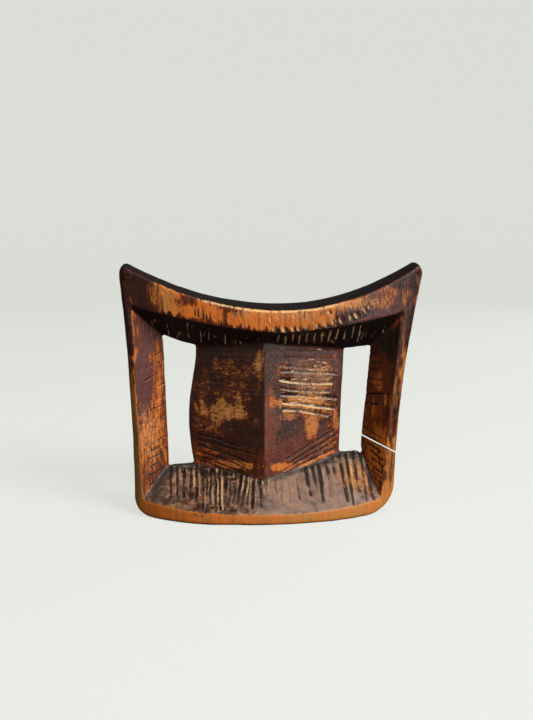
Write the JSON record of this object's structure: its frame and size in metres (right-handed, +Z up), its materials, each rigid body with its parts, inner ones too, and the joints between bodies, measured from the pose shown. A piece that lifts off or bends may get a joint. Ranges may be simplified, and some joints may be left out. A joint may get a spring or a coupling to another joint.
{
  "type": "carved wooden headrest",
  "caption": "Carved wooden headrest: a curved head rest with raised horns on two posts and a broad faceted column, over a lens-shaped base.",
  "frame": {"origin": "middle of the outline's box in plan, on the resting face", "axes": "+X from the left horn to the right horn, +Y from front to back, +Z up"},
  "size_m": [0.185, 0.083, 0.1546],
  "materials": {
    "saddle_wood": "hand-polished dark patina over orange-brown wood",
    "post_wood": "satin red-brown patina with tool marks",
    "column_wood": "worn dark patina with scored tool marks",
    "base_wood": "dry grooved top and worn orange-brown rim"
  },
  "bodies": {
    "root": {"saddle": "saddle_wood", "left_post": "post_wood", "right_post_upper": "post_wood", "right_post_lower": "post_wood", "column": "column_wood", "base": "base_wood"}
  },
  "joints": []
}
